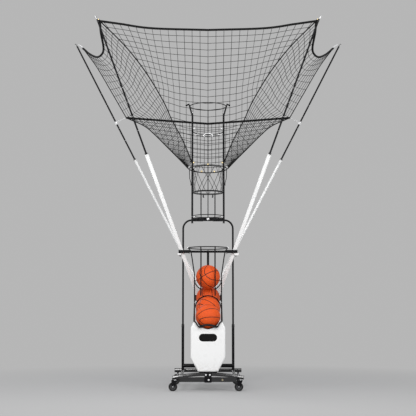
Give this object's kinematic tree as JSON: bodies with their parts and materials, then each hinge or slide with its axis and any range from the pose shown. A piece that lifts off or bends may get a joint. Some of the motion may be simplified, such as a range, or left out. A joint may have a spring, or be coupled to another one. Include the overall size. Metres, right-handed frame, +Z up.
{
  "type": "basketball shooting machine",
  "caption": "Castered basketball shooting machine: net funnel on telescoping poles, ball tower and cage over a turning launcher.",
  "frame": {"origin": "on the floor under the middle of the machine's bounding box", "axes": "+Z up, -Y is the front that the balls leave from, +X is the right-hand side as seen from the front; nodes named left are at -X"},
  "size_m": [2.9416, 1.2178, 3.6921],
  "materials": {
    "gloss_black_steel": "gloss",
    "black_steel": "satin",
    "white_pole": "satin",
    "white_cover": "satin",
    "bare_steel": "brushed",
    "black_alloy": "matte",
    "black_plastic": "matte",
    "black_rubber": "matte",
    "orange_ball": "pebbled",
    "black_net": "woven"
  },
  "bodies": {
    "base": {"base_frame": "gloss_black_steel", "centre_clamp": "black_steel", "turntable_motor": "black_plastic", "frame_sockets": "black_steel", "handle_frame": "black_steel", "mast_and_crossbar": "black_steel", "pole_socket": "black_alloy", "tower_frame": "black_steel", "tower_bracket": "black_steel", "net_ring": "black_steel", "sleeve_net": "black_net", "control_box": "black_plastic", "power_inlet": "black_plastic", "front_left_lower_pole": "white_pole", "front_left_pole_collar": "black_plastic", "front_left_net": "black_net", "front_right_lower_pole": "white_pole", "front_right_pole_collar": "black_plastic", "front_right_net": "black_net", "rear_left_lower_pole": "white_pole", "rear_left_pole_collar": "black_plastic", "rear_left_net": "black_net", "rear_right_lower_pole": "white_pole", "rear_right_pole_collar": "black_plastic", "rear_right_net": "black_net"},
    "launcher": {"turntable": "bare_steel", "launcher_chassis": "black_alloy", "ramp_rails": "black_steel", "ball_cage": "black_steel", "guard_hoop": "black_steel", "front_cover": "white_cover", "cover_window": "black_plastic", "rear_cover": "white_cover", "shooting_motor": "black_alloy", "drive_belt": "black_rubber", "second_ball": "orange_ball", "third_ball": "orange_ball"},
    "shooting_wheels": {"left_shooting_wheel": "black_rubber", "right_shooting_wheel": "black_rubber", "wheel_shaft": "bare_steel"},
    "motor_pulley": {"motor_pulley": "bare_steel"},
    "feed_paddle": {"feed_paddle": "black_rubber"},
    "front_ball": {"front_ball": "orange_ball"},
    "top_ball": {"top_ball": "orange_ball"},
    "power_switch": {"power_switch": "black_plastic"},
    "front_left_fork": {"front_left_caster_fork": "black_steel"},
    "front_left_wheel": {"front_left_caster_wheel": "black_rubber"},
    "front_right_fork": {"front_right_caster_fork": "black_steel"},
    "front_right_wheel": {"front_right_caster_wheel": "black_rubber"},
    "rear_left_fork": {"rear_left_caster_fork": "black_steel"},
    "rear_left_wheel": {"rear_left_caster_wheel": "black_rubber"},
    "rear_right_fork": {"rear_right_caster_fork": "black_steel"},
    "rear_right_wheel": {"rear_right_caster_wheel": "black_rubber"},
    "front_left_pole": {"front_left_upper_pole": "black_steel"},
    "front_right_pole": {"front_right_upper_pole": "black_steel"},
    "rear_left_pole": {"rear_left_upper_pole": "black_steel", "left_outrigger": "bare_steel"},
    "rear_right_pole": {"rear_right_upper_pole": "black_steel", "right_outrigger": "bare_steel"}
  },
  "joints": [
    {"name": "launcher_yaw", "type": "hinge", "parent": "base", "child": "launcher", "pos_m": [0, -0.15, 0.178], "axis": [0, 0, 1], "range_deg": [-90, 90]},
    {"name": "shooting_wheel_spin", "type": "hinge", "parent": "launcher", "child": "shooting_wheels", "pos_m": [0, -0.455, 0.51983], "axis": [1, 0, 0], "continuous": true},
    {"name": "motor_pulley_spin", "type": "hinge", "parent": "launcher", "child": "motor_pulley", "pos_m": [0, -0.36, 0.36], "axis": [1, 0, 0], "continuous": true},
    {"name": "feed_paddle_swing", "type": "hinge", "parent": "launcher", "child": "feed_paddle", "pos_m": [0, -0.31, 0.56], "axis": [-1, 0, 0], "range_deg": [0, 40]},
    {"name": "front_ball_launch", "type": "slide", "parent": "launcher", "child": "front_ball", "axis": [0, -0.6429, 0.7659], "range_m": [0, 0.35]},
    {"name": "top_ball_drop", "type": "slide", "parent": "launcher", "child": "top_ball", "axis": [0, 0, 1], "range_m": [0, 0.9]},
    {"name": "power_switch_rock", "type": "hinge", "parent": "base", "child": "power_switch", "pos_m": [-0.06, 0.3825, 0.37], "axis": [1, 0, 0], "range_deg": [-8, 8]},
    {"name": "front_left_swivel", "type": "hinge", "parent": "base", "child": "front_left_fork", "pos_m": [-0.314, -0.46, 0.104], "axis": [0, 0, 1], "continuous": true},
    {"name": "front_left_roll", "type": "hinge", "parent": "front_left_fork", "child": "front_left_wheel", "pos_m": [-0.334, -0.46, 0.04148], "axis": [0, 1, 0], "continuous": true},
    {"name": "front_right_swivel", "type": "hinge", "parent": "base", "child": "front_right_fork", "pos_m": [0.314, -0.46, 0.104], "axis": [0, 0, 1], "continuous": true},
    {"name": "front_right_roll", "type": "hinge", "parent": "front_right_fork", "child": "front_right_wheel", "pos_m": [0.294, -0.46, 0.04148], "axis": [0, 1, 0], "continuous": true},
    {"name": "rear_left_swivel", "type": "hinge", "parent": "base", "child": "rear_left_fork", "pos_m": [-0.314, 0.42, 0.104], "axis": [0, 0, 1], "continuous": true},
    {"name": "rear_left_roll", "type": "hinge", "parent": "rear_left_fork", "child": "rear_left_wheel", "pos_m": [-0.334, 0.42, 0.04148], "axis": [0, 1, 0], "continuous": true},
    {"name": "rear_right_swivel", "type": "hinge", "parent": "base", "child": "rear_right_fork", "pos_m": [0.314, 0.42, 0.104], "axis": [0, 0, 1], "continuous": true},
    {"name": "rear_right_roll", "type": "hinge", "parent": "rear_right_fork", "child": "rear_right_wheel", "pos_m": [0.294, 0.42, 0.04148], "axis": [0, 1, 0], "continuous": true},
    {"name": "front_left_pole_slide", "type": "slide", "parent": "base", "child": "front_left_pole", "axis": [0.3325, 0.2534, -0.9084], "range_m": [0, 0.15], "deforming": ["front_left_net"]},
    {"name": "front_right_pole_slide", "type": "slide", "parent": "base", "child": "front_right_pole", "axis": [-0.3325, 0.2534, -0.9084], "range_m": [0, 0.15], "deforming": ["front_right_net"]},
    {"name": "rear_left_pole_slide", "type": "slide", "parent": "base", "child": "rear_left_pole", "axis": [0.4516, -0.1313, -0.8825], "range_m": [0, 0.15], "deforming": ["rear_left_net"]},
    {"name": "rear_right_pole_slide", "type": "slide", "parent": "base", "child": "rear_right_pole", "axis": [-0.4516, -0.1313, -0.8825], "range_m": [0, 0.15], "deforming": ["rear_right_net"]}
  ],
  "couplings": [
    {"joint": "motor_pulley_spin", "follows": "shooting_wheel_spin", "ratio": 1.375},
    {"joint": "front_right_pole_slide", "follows": "front_left_pole_slide", "ratio": 1},
    {"joint": "rear_left_pole_slide", "follows": "front_left_pole_slide", "ratio": 1},
    {"joint": "rear_right_pole_slide", "follows": "front_left_pole_slide", "ratio": 1}
  ]
}
